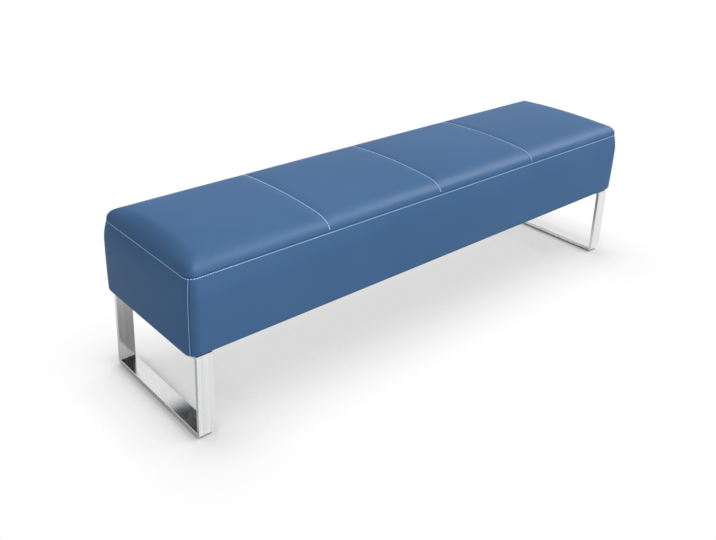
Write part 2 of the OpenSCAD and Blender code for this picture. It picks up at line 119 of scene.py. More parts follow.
def addNode(tree, kind, settings=None, links=None, stops=()):
    # adds a node: settings by attribute name, links by socket to a value or to another node's output,
    # and for a colour ramp its stops, each a place and an sRGB hex colour
    node = tree.nodes.new(kind)
    for name, value in (settings or {}).items():
        setattr(node, name, value)
    for socket, value in (links or {}).items():
        if isinstance(value, bpy.types.NodeSocket):
            tree.links.new(value, node.inputs[socket])
        else:
            node.inputs[socket].default_value = value
    for number, (place, colour) in enumerate(stops):
        elements = node.color_ramp.elements
        element = elements[number] if number < len(elements) else elements.new(place)
        element.position = place
        element.color = linear(colour)
    return node


def mapped(tree, scale=(1, 1, 1)):
    # object coordinates in metres, multiplied by a scale along each axis
    place = addNode(tree, "ShaderNodeTexCoord")
    return addNode(tree, "ShaderNodeMapping",
                   links={"Vector": place.outputs["Object"], "Scale": scale}).outputs["Vector"]


def toneAndRelief(tree, shader, value, stops, strength, distance):
    # one value gives the surface both its tones and its relief
    tones = addNode(tree, "ShaderNodeValToRGB", links={"Fac": value}, stops=stops)
    relief = addNode(tree, "ShaderNodeBump",
                     links={"Height": value, "Strength": strength, "Distance": distance})
    tree.links.new(tones.outputs["Color"], shader.inputs["Base Color"])
    tree.links.new(relief.outputs["Normal"], shader.inputs["Normal"])


def noiseMaterial(name, scale, detail, stops, bump, **sockets):
    # a surface of one fine noise, with scale patches to the metre
    made, tree, shader = newMaterial(name, **sockets)
    noise = addNode(tree, "ShaderNodeTexNoise",
                    links={"Vector": mapped(tree), "Scale": scale, "Detail": detail})
    toneAndRelief(tree, shader, noise.outputs["Fac"], stops, *bump)
    return made


leatherette = {
    "tones": ["#43668e", "#496b94"],   # the dye's slight unevenness
    "toneSize": 0.35,                  # metres from one tone to the next
    "grain": 0.0014,                   # pebbles of the calendered grain, drawn a little coarse to show
    "grainDepth": 0.00007,
    "paintedCreaseShade": 0.93,                # painted shade: how much darker the creases between the pebbles are drawn
    "roughness": [0.37, 0.44],
}


def leatheretteMaterial():
    # PU-coated leatherette with a calendered fine grain and painted shade in its creases: satin, with a
    # broad soft highlight
    made, tree, shader = newMaterial("polyurethane_leatherette", Roughness=0.40, IOR=1.45,
                                     Specular_IOR_Level=0.03)
    spot = mapped(tree)
    tone = addNode(tree, "ShaderNodeTexNoise",
                   links={"Vector": spot, "Scale": 1 / leatherette["toneSize"], "Detail": 3})
    colour = addNode(tree, "ShaderNodeValToRGB", links={"Fac": tone.outputs["Fac"]},
                     stops=[(0.3, leatherette["tones"][0]), (0.7, leatherette["tones"][1])])
    pebble = addNode(tree, "ShaderNodeTexVoronoi", {"feature": "SMOOTH_F1"},
                     {"Vector": spot, "Scale": 1 / leatherette["grain"], "Smoothness": 0.6})
    # painted shade: the base colour is darkened in the creases between the pebbles
    paintedCreaseShading = addNode(tree, "ShaderNodeMapRange",
                     links={"Value": pebble.outputs["Distance"], "From Min": 0.2, "From Max": 0.8,
                            "To Min": 1.0, "To Max": leatherette["paintedCreaseShade"]})
    shaded = addNode(tree, "ShaderNodeMix", {"data_type": "RGBA", "blend_type": "MULTIPLY"},
                     {0: 1.0, 6: colour.outputs["Color"], 7: paintedCreaseShading.outputs["Result"]})
    tree.links.new(shaded.outputs[2], shader.inputs["Base Color"])
    dull = addNode(tree, "ShaderNodeMapRange",
                   links={"Value": tone.outputs["Fac"], "From Min": 0.3, "From Max": 0.7,
                          "To Min": leatherette["roughness"][0], "To Max": leatherette["roughness"][1]})
    tree.links.new(dull.outputs["Result"], shader.inputs["Roughness"])
    relief = addNode(tree, "ShaderNodeBump",
                     links={"Height": pebble.outputs["Distance"], "Strength": 0.5,
                            "Distance": leatherette["grainDepth"]})
    tree.links.new(relief.outputs["Normal"], shader.inputs["Normal"])
    return made


metal = {
    "tones": ["#d6d6d6", "#e6e6e5"],
    "line": 0.0016,               # spacing of the fine lines that drawing leaves along the bar
    "run": 0.6,                   # length of one line
    "haze": 30,                   # patches of haze per metre
    "roughness": [0.13, 0.20],
}


def chromeMaterial():
    # chrome plate on drawn flat bar, polished along its run: soft mirror with fine lengthwise lines
    made, tree, shader = newMaterial("polished_chrome_plate", Metallic=1.0, Roughness=0.16)
    drawn = mapped(tree, (1 / metal["line"], 1 / metal["run"], 1 / metal["run"]))
    lines = addNode(tree, "ShaderNodeTexNoise", links={"Vector": drawn, "Scale": 1.0, "Detail": 3})
    haze = addNode(tree, "ShaderNodeTexNoise",
                   links={"Vector": mapped(tree), "Scale": metal["haze"], "Detail": 3})
    dull = addNode(tree, "ShaderNodeMapRange",
                   links={"Value": haze.outputs["Fac"], "From Min": 0.35, "From Max": 0.7,
                          "To Min": metal["roughness"][0], "To Max": metal["roughness"][1]})
    tree.links.new(dull.outputs["Result"], shader.inputs["Roughness"])
    toneAndRelief(tree, shader, lines.outputs["Fac"],
                  [(0.3, metal["tones"][0]), (0.65, metal["tones"][1])], 0.2, 0.0001)
    return made


timber = {
    "fibre": 0.006,        # width of the grain's streaks
    "waver": 0.6,
    "plyContrast": 0.12,   # how far alternate plies differ on plywood's edges
}


def woodMaterial(name, tones, along, axis, roughness, layers=0):
    # sawn wood with its grain drawn out along one axis; layers is the thickness of a ply, if any
    made, tree, shader = newMaterial(name, Roughness=roughness, IOR=1.5)
    spot = mapped(tree, [1 / (along if k == axis else timber["fibre"]) for k in range(3)])
    grain = addNode(tree, "ShaderNodeTexNoise", links={"Vector": spot, "Scale": 1.0, "Detail": 5,
                                                       "Distortion": timber["waver"]})
    value = grain.outputs["Fac"]
    if layers:
        rise = addNode(tree, "ShaderNodeSeparateXYZ", links={"Vector": mapped(tree)})
        plies = addNode(tree, "ShaderNodeMath", {"operation": "PINGPONG"},
                        {0: rise.outputs["Z"], 1: layers})
        band = addNode(tree, "ShaderNodeMapRange",
                       links={"Value": plies.outputs[0], "From Max": layers,
                              "To Min": -timber["plyContrast"], "To Max": timber["plyContrast"]})
        value = addNode(tree, "ShaderNodeMath", {"operation": "ADD"},
                        {0: value, 1: band.outputs["Result"]}).outputs[0]
    toneAndRelief(tree, shader, value, [(0.3, tones[0]), (0.5, tones[1]), (0.68, tones[2])],
                  0.3, 0.0003)
    return made


def foamMaterial():
    # open-cell polyurethane foam: cream, dull, with cells about a millimetre across
    made, tree, shader = newMaterial("polyurethane_foam", Roughness=0.95, IOR=1.45)
    cells = addNode(tree, "ShaderNodeTexVoronoi", links={"Vector": mapped(tree), "Scale": 800})
    toneAndRelief(tree, shader, cells.outputs["Distance"], [(0.1, "#d9cb9f"), (0.6, "#efe6c8")],
                  0.6, 0.0004)
    return made


def dustClothMaterial():
    # spun-bonded polypropylene: black, dull, bonded in small points about 3 mm apart
    made, tree, shader = newMaterial("spun_bonded_polypropylene", Roughness=0.85, IOR=1.49)
    spot = mapped(tree)
    bonds = addNode(tree, "ShaderNodeTexVoronoi",
                    links={"Vector": spot, "Scale": 330, "Randomness": 0.15})
    fibre = addNode(tree, "ShaderNodeTexNoise", links={"Vector": spot, "Scale": 900, "Detail": 4})
    mixed = addNode(tree, "ShaderNodeMath", {"operation": "MULTIPLY"},
                    {0: bonds.outputs["Distance"], 1: fibre.outputs["Fac"]})
    toneAndRelief(tree, shader, mixed.outputs[0], [(0.05, "#151516"), (0.35, "#2e2e31")], 0.6, 0.0004)
    return made


leather = leatheretteMaterial()
chrome = chromeMaterial()
# bonded sewing thread: pale, faintly silky, with fibres drawn about 0.6 mm apart to show
thread = noiseMaterial("bonded_polyester_thread", 1800, 2, [(0.3, "#a2c4ee"), (0.7, "#cfe2fa")],
                       (0.4, 0.0001), Roughness=0.55, IOR=1.5, Specular_IOR_Level=0.2)
# moulded glides: dark grey, spark-eroded with a grit of about 0.7 mm
plastic = noiseMaterial("moulded_polyamide", 1500, 2, [(0.3, "#3c3e40"), (0.7, "#484a4d")],
                        (0.4, 0.0001), Roughness=0.5, IOR=1.53)
# fasteners: zinc plate with the faint iridescence of its passivation, in patches of about 8 mm
zinc = noiseMaterial("zinc_plated_steel", 120, 3,
                     [(0.3, "#aab4bf"), (0.55, "#c3c6c4"), (0.75, "#c9c2ae")],
                     (0.2, 0.0001), Metallic=1.0, Roughness=0.34)
pineTones = ["#c79a5c", "#dcb87e", "#e8cd9b"]
pineAlong = woodMaterial("sawn_pine_lengthwise", pineTones, 0.18, 0, 0.7)
pineCross = woodMaterial("sawn_pine_crosswise", pineTones, 0.18, 1, 0.7)
plywood = woodMaterial("birch_plywood", ["#c39a68", "#d8b486", "#e6cba3"], 0.15, 0, 0.6, 0.0014)
foam = foamMaterial()
dustCloth = dustClothMaterial()
print("materials made")

# the upholstered block's form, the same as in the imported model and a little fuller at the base
block = {
    "length": 1.600, "depth": 0.400,
    "underside": 0.218, "seam": 0.410,
    "corner": 0.030,            # plan radius of the upright corners
    "rollWidth": 0.042, "rollRise": 0.025, "tuckRise": 0.002,
    "crown": 0.013, "crownPower": 30,
    "draw": 0.010,              # how far the sides draw in at the top seam
    "panelInset": 0.0085,       # how far in the rolled edge starts
    "crossShares": (0.24, 0.475, 0.715),   # where the cross seams divide the length
    "bulgeDrop": 0.055, "baseDraw": 0.003,
    "bottomTurn": 0.012, "hem": 0.0296,
    "channelDepth": 0.0025, "channelSpread": 0.011,
    "sewnGap": 0.0003,
}
halfLength = block["length"] / 2
halfDepth = block["depth"] / 2
crossSeams = [(2 * share - 1) * halfLength for share in block["crossShares"]]
panelEdges = [-halfLength] + crossSeams + [halfLength]
widestHeight = block["seam"] - block["bulgeDrop"]


def outlineGap(x, y, inset):
    # distance inwards from the rounded outline that lies at an inset
    dx = np.abs(x) - (halfLength - block["corner"])
    dy = np.abs(y) - (halfDepth - block["corner"])
    straight = np.minimum(halfLength - np.abs(x), halfDepth - np.abs(y)) - inset
    return np.where((dx > 0) & (dy > 0), block["corner"] - inset - np.hypot(dx, dy), straight)


def topHeight(x, y):
    # the top's surface: a rolled edge, a low crown and a channel along each cross seam
    share = np.clip(outlineGap(x, y, block["panelInset"]) / block["rollWidth"], 0, 1)
    crown = (block["crown"] * (1 - (y / halfDepth) ** 2)
             * (1 - (np.abs(x) / halfLength) ** block["crownPower"]))
    nearest = np.min([np.abs(x - s) for s in crossSeams], axis=0)
    channel = block["channelDepth"] * np.exp(-(nearest / block["channelSpread"]) ** 2)
    return (block["seam"] + block["tuckRise"] + block["rollRise"] * np.sqrt(1 - (1 - share) ** 2)
            + share * (crown - channel))


def sideInset(z):
    # how far a side lies in from the outline, which it reaches only at its widest height
    upper = block["draw"] * ((z - widestHeight) / block["bulgeDrop"]) ** 2
    lower = block["baseDraw"] * ((widestHeight - z) / (widestHeight - block["underside"])) ** 2
    return np.where(z > widestHeight, upper, lower)


panelMesh = {
    "rollSteps": 10, "rows": 30, "columns": 34,
    "nearSeam": [0, 0.003, 0.0065, 0.011, 0.016, 0.022, 0.030],
    "turnIn": 0.0018,     # radius at which a sewn edge turns down into its seam
    "crossTurnIn": 0.0004,   # the same at a cross seam, which is pressed flatter
    "crossReach": 0.003,  # an edge this near to a cross seam belongs to it
    "crossRise": 0.004,   # if it lies this far above the top seam
    "drop": 0.0012,       # how far the seam allowance goes on downwards
    "turnAngles": (25, 50, 72, 90),   # degrees, where the turned edge gets its rings
    "mitreLimit": 1.5,
    "thickness": 0.0012,
    "fullness": 0.0018,   # how far the foam presses a panel out between its seams
}
bandMesh = {
    "cornerSteps": 6, "cell": 0.010, "rows": 20, "turnSteps": 6, "hemSteps": 3,
    "nearSeam": [0, 0.003, 0.007],   # depths of the first rows below the top seam
    "firstRow": 0.012,               # and where the even rows begin
    "hemClear": 0.0005,              # edges no higher than this above the underside are hems
    "fullness": 0.0011,
}


def panelPlaces(number):
    # crossings of one top panel's grid: columns along the bench, rows from the front seam to the rear
    edge = panelMesh["crossTurnIn"] + block["sewnGap"] / 2
    left, right = panelEdges[number:number + 2]
    rolled = 1 - np.cos(np.linspace(0, math.pi / 2, panelMesh["rollSteps"] + 1))
    reachIn = block["rollWidth"]
    ends = list(halfLength - reachIn * rolled)
    near = [edge + d for d in panelMesh["nearSeam"]]
    first = [-x for x in ends] if number == 0 else [left + d for d in near]
    last = ends[::-1] if number == 3 else [right - d for d in near][::-1]
    middle = list(np.linspace(first[-1], last[0], panelMesh["columns"] + 1)[1:-1])
    columns = []
    for x in first + middle + last:
        past = abs(x) - (halfLength - block["corner"])
        inset = block["panelInset"]
        if past > 0:   # a column keeps its turn round the corner when the outline is set in
            x = math.copysign(halfLength - block["corner"] + past * (1 - inset / block["corner"]), x)
            past = abs(x) - (halfLength - block["corner"])
            turn = block["corner"] - inset
            reach = halfDepth - block["corner"] + math.sqrt(max(0, turn ** 2 - past ** 2))
        else:
            reach = halfDepth - inset
        front = -reach + reachIn * rolled
        y = np.concatenate([front, np.linspace(front[-1], -front[-1], panelMesh["rows"] + 1)[1:-1],
                            -front[::-1]])
        across = np.full(len(y), x)
        columns.append(np.stack([across, y, topHeight(across, y)], 1))
    return np.array(columns)


def bandPlaces(run, reach):
    # crossings of one side band's grid, for a band that runs along X in front of the middle
    corner = block["corner"]
    seamTurn = (panelMesh["turnIn"] + block["sewnGap"] / 2) / corner
    turns = np.linspace(math.pi / 4 - seamTurn, 0, bandMesh["cornerSteps"] + 1)
    straight = np.linspace(-run / 2, run / 2, round(run / bandMesh["cell"]) + 1)
    plan = [(-run / 2, corner - reach, -math.sin(a), -math.cos(a)) for a in turns[:-1]]
    plan += [(x, corner - reach, 0.0, -1.0) for x in straight]
    plan += [(run / 2, corner - reach, math.sin(a), -math.cos(a)) for a in turns[::-1][1:]]
    top = block["seam"] - block["sewnGap"] / 2 - panelMesh["turnIn"]
    turnHeight = block["underside"] + block["bottomTurn"]
    z = np.concatenate([[top - d for d in bandMesh["nearSeam"]],
                        np.linspace(top - bandMesh["firstRow"], turnHeight, bandMesh["rows"])])
    turnInset = float(sideInset(np.array(turnHeight))) + block["bottomTurn"]
    arc = np.linspace(0, math.pi / 2, bandMesh["turnSteps"] + 1)[1:]
    inset = np.concatenate([sideInset(z), turnInset - block["bottomTurn"] * np.cos(arc),
                            np.linspace(turnInset, block["hem"], bandMesh["hemSteps"] + 1)[1:]])
    z = np.concatenate([z, turnHeight - block["bottomTurn"] * np.sin(arc),
                        np.full(bandMesh["hemSteps"], block["underside"])])
    return np.array([[(cx + (corner - i) * nx, cy + (corner - i) * ny, h)
                      for i, h in zip(inset, z)] for cx, cy, nx, ny in plan])


def gridPiece(name, places, outward):
    # a grid primitive with every crossing put in its place, its faces turned outwards
    columns, rows = places.shape[:2]
    bpy.ops.mesh.primitive_grid_add(x_subdivisions=columns - 1, y_subdivisions=rows - 1, size=1)
    piece = bpy.context.object
    piece.name = name
    piece.data.name = name
    start = coordinates(piece.data)
    i = np.rint((start[:, 0] + 0.5) * (columns - 1)).astype(int)
    j = np.rint((start[:, 1] + 0.5) * (rows - 1)).astype(int)
    setCoordinates(piece.data, places[i, j])
    middle = piece.data.polygons[len(piece.data.polygons) // 2]
    if middle.normal.dot(Vector(outward)) < 0:
        piece.data.flip_normals()
    return piece


clothRun = {"frames": 20, "quality": 5, "mass": 0.02, "pressure": 4}


def rimVertices(piece):
    # the vertices on a sheet's open edges
    loops = np.empty(len(piece.data.loops), int)
    piece.data.loops.foreach_get("edge_index", loops)
    faces = np.bincount(loops, minlength=len(piece.data.edges))
    return {v for e in piece.data.edges if faces[e.index] == 1 for v in e.vertices}


def startCloth(piece, isPinned):
    # pressure swells the sheet out, and its sewn edges stay where they are
    group = piece.vertex_groups.new(name="sewn")
    rim = rimVertices(piece)
    held = [v.index for v in piece.data.vertices if v.index in rim or isPinned(v.co)]
    group.add(held, 1.0, "REPLACE")
    cloth = piece.modifiers.new("Cloth", "CLOTH")
    cloth.settings.quality = clothRun["quality"]
    cloth.settings.mass = clothRun["mass"]
    cloth.settings.vertex_group_mass = group.name
    cloth.settings.use_pressure = True
    cloth.settings.uniform_pressure_force = clothRun["pressure"]
    cloth.settings.effector_weights.gravity = 0
    cloth.collision_settings.use_collision = False
    cloth.point_cache.frame_start = 1
    cloth.point_cache.frame_end = clothRun["frames"]


def endCloth(piece, start, fullness):
    # takes the simulated shape over, scaled so that its greatest movement is the fullness
    pick(piece)
    bpy.ops.object.modifier_apply(modifier="Cloth")
    piece.vertex_groups.clear()
    moved = coordinates(piece.data) - start
    size = np.linalg.norm(moved, axis=1).max()
    print(f"  {piece.name}: cloth moved {size * 1000:.2f} mm")
    if size > 1e-9:
        setCoordinates(piece.data, start + moved * (fullness / size))


def turnInEdges(piece, isSewn):
    # rounds every sewn edge down into its seam, as a folded seam allowance does
    form = bmesh.new()
    form.from_mesh(piece.data)
    form.normal_update()
    rim = [e for e in form.edges if e.is_boundary and isSewn((e.verts[0].co + e.verts[1].co) / 2)]
    away = {}
    for e in rim:
        face = e.link_faces[0]
        side = (e.verts[1].co - e.verts[0].co).cross(face.normal).normalized()
        if side.dot(face.calc_center_median() - e.verts[0].co) > 0:
            side.negate()
        for v in e.verts:
            away.setdefault(v, []).append(side)
    ring = {}
    for v, sides in away.items():
        side = sum(sides, Vector()).normalized()
        mitre = min(panelMesh["mitreLimit"], 1 / max(0.5, side.dot(sides[0])))
        nearest = min(abs(v.co.x - s) for s in crossSeams)
        atCross = (v.co.z > block["seam"] + panelMesh["crossRise"]
                   and nearest < panelMesh["crossReach"])
        radius = panelMesh["crossTurnIn" if atCross else "turnIn"]
        ring[v] = (v.co.copy(), side * mitre, v.normal.copy(), radius)
    turns = [math.radians(a) for a in panelMesh["turnAngles"]]
    for step in range(len(turns) + 1):
        made = bmesh.ops.extrude_edge_only(form, edges=rim)["geom"]
        fresh = [g for g in made if isinstance(g, bmesh.types.BMVert)]
        grown = {}
        for v in fresh:
            old = next(e.other_vert(v) for e in v.link_edges if e.other_vert(v) in ring)
            co, side, normal, radius = grown[v] = ring[old]
            turn = turns[min(step, len(turns) - 1)]
            sink = radius * (1 - math.cos(turn)) + (panelMesh["drop"] if step == len(turns) else 0)
            v.co = co + side * radius * math.sin(turn) - normal * sink
        ring = grown
        rim = [g for g in made if isinstance(g, bmesh.types.BMEdge) and g.is_boundary
               and all(v in ring for v in g.verts)]
    bmesh.ops.recalc_face_normals(form, faces=form.faces)
    form.to_mesh(piece.data)
    form.free()


scene = bpy.context.scene
coverPieces = []
for number in range(4):
    piece = gridPiece(f"seat_cover_{number + 1}", panelPlaces(number), (0, 0, 1))
    coverPieces.append((piece, f"top_panel_{number + 1}", panelMesh["fullness"]))
bandRuns = [("front_cover_band", "front_band", 0), ("right_cover_band", "right_end_band", 90),
            ("rear_cover_band", "rear_band", 180), ("left_cover_band", "left_end_band", 270)]
for name, node, turn in bandRuns:
    straight, reach = (block["length"], halfDepth) if turn % 180 == 0 else (block["depth"], halfLength)
    places = bandPlaces(straight - 2 * block["corner"], reach)
    rotation = np.array(Matrix.Rotation(math.radians(turn), 3, "Z"))
    places = places @ rotation.T
    piece = gridPiece(name, places, rotation @ np.array([0, -1, 0]))
    coverPieces.append((piece, node, bandMesh["fullness"]))
print("cover sheets laid out")

starts = []
for piece, node, fullness in coverPieces:
    starts.append(coordinates(piece.data))
    startCloth(piece, lambda co: co.z < block["underside"] + block["bottomTurn"])
for frameNumber in range(1, clothRun["frames"] + 1):
    scene.frame_set(frameNumber)
for (piece, node, fullness), start in zip(coverPieces, starts):
    endCloth(piece, start, fullness)
scene.frame_set(1)
print("cover simulated")

for piece, node, fullness in coverPieces:
    applyModifier(piece, "SUBSURF", levels=1, render_levels=1, boundary_smooth="PRESERVE_CORNERS")
    turnInEdges(piece, lambda co: co.z > block["underside"] + bandMesh["hemClear"])
    applyModifier(piece, "SOLIDIFY", thickness=panelMesh["thickness"], offset=-1)
    pick(piece)
    bpy.ops.object.shade_smooth()
    finishPiece(piece, leather, [node])
print("cover finished")

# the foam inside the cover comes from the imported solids, and keeps clear of the cover's seams
foamMesh = {
    "voxel": 0.008, "sideVoxel": 0.004,
    "smoothing": 0.5, "rounds": 3,
    "channel": 0.0022, "channelReach": 0.005,   # hollow below the cross seams
    "clear": 0.0004,                            # all of the top stays this far below the cover
}


def foamPiece(name, node, voxel):
    piece = weldedCopy(node, name)
    applyModifier(piece, "REMESH", mode="VOXEL", voxel_size=voxel)
    applyModifier(piece, "SMOOTH", factor=foamMesh["smoothing"], iterations=foamMesh["rounds"])
    bpy.ops.object.shade_smooth()
    finishPiece(piece, foam, [node])
    return piece


seatFoam = foamPiece("seat_foam", "foam_core", foamMesh["voxel"])
co = coordinates(seatFoam.data)
nearest = np.min([np.abs(co[:, 0] - s) for s in crossSeams], axis=0)
above = co[:, 2] > block["seam"]
channel = foamMesh["channel"] * np.exp(-(nearest / foamMesh["channelReach"]) ** 2)
co[:, 2] -= above * (foamMesh["clear"] + channel)
setCoordinates(seatFoam.data, co)
for side in ("front", "rear", "left", "right"):
    foamPiece(f"{side}_edge_foam", f"{side}_side_foam", foamMesh["sideVoxel"])
print("foam finished")

stitch = {
    "pitch": 0.0064, "length": 0.0050,
    "thickness": 0.0024, "flat": 0.55,      # drawn thicker than real thread so that it shows
    "sides": 6, "body": 0.55,               # straight middle's share of the length
    "endRun": 0.22, "endDrop": 0.38, "endTaper": 0.6,
    "crossWidth": 1.35, "cornerWidth": 0.5,   # the other rows' thread against the perimeter row's
    "fromTopSeam": 0.0034,                  # from a seam's line to its row of stitches
    "fromCrossSeam": 0.0016, "fromCornerSeam": 0.0028,
    "sink": 0.00015,                        # how deep the thread lies in the leatherette
    "search": 0.006,                        # how far from a row's line the surface may lie
    "crossEnd": 0.06,                       # angle left free at each end of a cross row
    "cornerStart": 0.004,                   # a corner row begins this far below the top seam
    "underTurn": 0.8,                       # and ends at this share of the turn under the block
}
linePoints = {"corner": 13, "cross": 161, "upright": 30, "under": 8}   # along the rows' lines


def stitchForm():
    # one stitch, lying along X with its ends drawn down into the holes
    bpy.ops.mesh.primitive_cylinder_add(
        vertices=stitch["sides"], radius=stitch["thickness"] / 2,
        depth=stitch["length"] * stitch["body"], rotation=(0, math.pi / 2, 0))
    form = bpy.context.object
    bpy.ops.object.transform_apply(location=True, rotation=True, scale=True)
    for end in (-1, 1):
        bpy.ops.object.mode_set(mode="EDIT")
        bpy.ops.mesh.select_all(action="DESELECT")
        bpy.ops.mesh.select_mode(type="FACE")
        inside = bmesh.from_edit_mesh(form.data)
        for face in inside.faces:
            face.select_set(face.normal.x * end > 0.9)
        bmesh.update_edit_mesh(form.data)
        bpy.ops.mesh.extrude_region_move(TRANSFORM_OT_translate={
            "value": (end * stitch["length"] * stitch["endRun"], 0,
                      -stitch["thickness"] * stitch["endDrop"])})
        bpy.ops.transform.resize(value=[stitch["endTaper"]] * 3)
        bpy.ops.object.mode_set(mode="OBJECT")
    verts = coordinates(form.data) * (1, 1, stitch["flat"])
    faces = [list(p.vertices) for p in form.data.polygons]
    bpy.data.objects.remove(form)
    return verts, faces


stitchVerts, stitchFaces = stitchForm()


def surfaceOf(pieces):
    # one search tree over several finished pieces
    points, faces = [], []
    for piece in pieces:
        first = len(points)
        points += [v.co.copy() for v in piece.data.vertices]
        faces += [[first + k for k in p.vertices] for p in piece.data.polygons]
    return BVHTree.FromPolygons(points, faces)


def evenly(points, normals, spacing):
    # places along a line at an even spacing, with their directions
    lengths = np.concatenate([[0], np.cumsum(np.linalg.norm(np.diff(points, axis=0), axis=1))])
    count = max(1, round(lengths[-1] / spacing))
    at = (np.arange(count) + 0.5) * lengths[-1] / count
    spots = np.stack([np.interp(at, lengths, points[:, k]) for k in range(3)], 1)
    ups = np.stack([np.interp(at, lengths, normals[:, k]) for k in range(3)], 1)
    ahead = np.stack([np.interp(at + spacing / 4, lengths, points[:, k]) for k in range(3)], 1)
    behind = np.stack([np.interp(at - spacing / 4, lengths, points[:, k]) for k in range(3)], 1)
    return spots, ups, ahead - behind


def sewRow(name, lines, surface, width=1):
    # a row of stitches along each line, each stitch laid on the surface under it
    points, faces = [], []
    for line, normals in lines:
        for spot, up, along in zip(*evenly(line, normals, stitch["pitch"])):
            up = Vector(up).normalized()
            along = Vector(along).normalized()
            hit = surface.ray_cast(Vector(spot) + up * stitch["search"], -up, 2 * stitch["search"])[0]
            base = hit if hit is not None else Vector(spot)
            side = up.cross(along).normalized()
            turn = Matrix([along, side * width, along.cross(side)]).transposed()
            first = len(points)
            lift = up * (stitch["thickness"] * stitch["flat"] / 2 - stitch["sink"])
            points += [base + lift + turn @ Vector(v) for v in stitchVerts]
            faces += [[first + k for k in f] for f in stitchFaces]
    mesh = bpy.data.meshes.new(name)
    mesh.from_pydata(points, [], faces)
    piece = shownObject(name, mesh)
    bpy.ops.object.shade_smooth()
    finishPiece(piece, thread)


def perimeterLine():
    # once round the block, just below its top seam
    z = block["seam"] - stitch["fromTopSeam"]
    inset = float(sideInset(np.array(z)))
    corner = block["corner"]
    line, normals = [], []
    for k, (cx, cy) in enumerate([(1, -1), (1, 1), (-1, 1), (-1, -1)]):
        for a in np.linspace(-math.pi / 2, 0, linePoints["corner"]) + k * math.pi / 2:
            n = np.array([math.cos(a), math.sin(a), 0])
            centre = np.array([cx * (halfLength - corner), cy * (halfDepth - corner), z])
            line.append(centre + (corner - inset) * n)
            normals.append(n)
    line.append(line[0])
    normals.append(normals[0])
    return np.array(line), np.array(normals)


def crossLine(seam):
    # across the top beside a cross seam, with more points towards the rolled edges
    x = seam + stitch["fromCrossSeam"]
    reach = halfDepth - block["panelInset"]
    last = math.pi / 2 - stitch["crossEnd"]
    y = reach * np.sin(np.linspace(-last, last, linePoints["cross"]))
    line = np.stack([np.full(len(y), x), y, topHeight(np.full(len(y), x), y)], 1)
    run = np.gradient(line, axis=0)
    normals = np.cross(np.array([1.0, 0, 0]), run)
    return line, normals / np.linalg.norm(normals, axis=1)[:, None]


def cornerLine(cx, cy):
    # down the end band's side of an upright corner seam, and round under the block
    corner = block["corner"]
    a = math.pi / 4 - stitch["fromCornerSeam"] / corner
    n = np.array([cx * math.cos(a), cy * math.sin(a), 0])
    turnHeight = block["underside"] + block["bottomTurn"]
    z = np.linspace(block["seam"] - stitch["cornerStart"], turnHeight, linePoints["upright"])
    inset = sideInset(z)
    arc = np.linspace(0, math.pi / 2 * stitch["underTurn"], linePoints["under"])[1:]
    turnInset = float(inset[-1]) + block["bottomTurn"]
    inset = np.concatenate([inset, turnInset - block["bottomTurn"] * np.cos(arc)])
    z = np.concatenate([z, turnHeight - block["bottomTurn"] * np.sin(arc)])
    centre = np.array([cx * (halfLength - corner), cy * (halfDepth - corner), 0])
    line = centre + (corner - inset)[:, None] * n + z[:, None] * np.array([0, 0, 1])
    normals = np.tile(n, (len(z), 1))
    normals[-len(arc):] = n * np.cos(arc)[:, None] - np.array([0, 0, 1]) * np.sin(arc)[:, None]
    return line, normals


bands = surfaceOf([p for p, node, fullness in coverPieces[4:]])
panels = surfaceOf([p for p, node, fullness in coverPieces[:4]])
sewRow("top_seam_stitches", [perimeterLine()], bands)
sewRow("cross_seam_stitches", [crossLine(s) for s in crossSeams], panels, stitch["crossWidth"])
sewRow("corner_seam_stitches",
       [cornerLine(cx, cy) for cx in (-1, 1) for cy in (-1, 1)], bands, stitch["cornerWidth"])
print("stitches sewn")

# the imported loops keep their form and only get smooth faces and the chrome
for side in ("left", "right"):
    loop = weldedCopy(f"{side}_leg_loop", f"{side}_chrome_loop")
    bpy.ops.object.shade_smooth_by_angle(angle=math.radians(20))
    finishPiece(loop, chrome, [f"{side}_leg_loop"])

underside = {
    "cell": 0.04, "lastCell": 0.01,     # it is cut into cells, the last of them no smaller than this
    "sag": 0.0016,
    "flatFrom": 0.69, "flatRun": 0.05,  # beyond this distance from the middle it lies flat
    "span": 0.4, "spanPower": 0.7,      # it hangs between the cross rails
}


def undersideCloth(name):
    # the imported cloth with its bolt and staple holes, cut into cells and let sag a little
    piece = weldedCopy("dust_cover", name)
    low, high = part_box("dust_cover")
    bpy.ops.object.mode_set(mode="EDIT")
    for axis in (0, 1):
        for place in np.arange(low[axis] + underside["cell"], high[axis] - underside["lastCell"],
                               underside["cell"]):
            normal = [0, 0, 0]
            normal[axis] = 1
            spot = [0, 0, 0]
            spot[axis] = place
            bpy.ops.mesh.select_all(action="SELECT")
            bpy.ops.mesh.bisect(plane_co=spot, plane_no=normal)
    bpy.ops.object.mode_set(mode="OBJECT")
    co = coordinates(piece.data)
    free = np.clip((underside["flatFrom"] - np.abs(co[:, 0])) / underside["flatRun"], 0, 1)
    between = np.abs(np.sin(math.pi * co[:, 0] / underside["span"])) ** underside["spanPower"]
    co[:, 2] -= underside["sag"] * free * between * (1 - (co[:, 1] / high[1]) ** 2)
    setCoordinates(piece.data, co)
    bpy.ops.object.shade_smooth_by_angle(angle=math.radians(30))
    finishPiece(piece, dustCloth, ["dust_cover"])


undersideCloth("underside_cloth")

finishes = {
    "glide": plastic, "bolts": zinc, "washers": zinc, "nuts": zinc, "screws": zinc, "staples": zinc,
    "board": plywood, "deck": plywood, "end_rail": pineCross, "cross_rail": pineCross,
    "corner_block": pineCross, "front_rail": pineAlong, "rear_rail": pineAlong,
}
for name, node in nodes.items():
    for part, material in finishes.items():
        if part in name:
            node.data.materials.clear()
            node.data.materials.append(material)
print("packed parts finished")

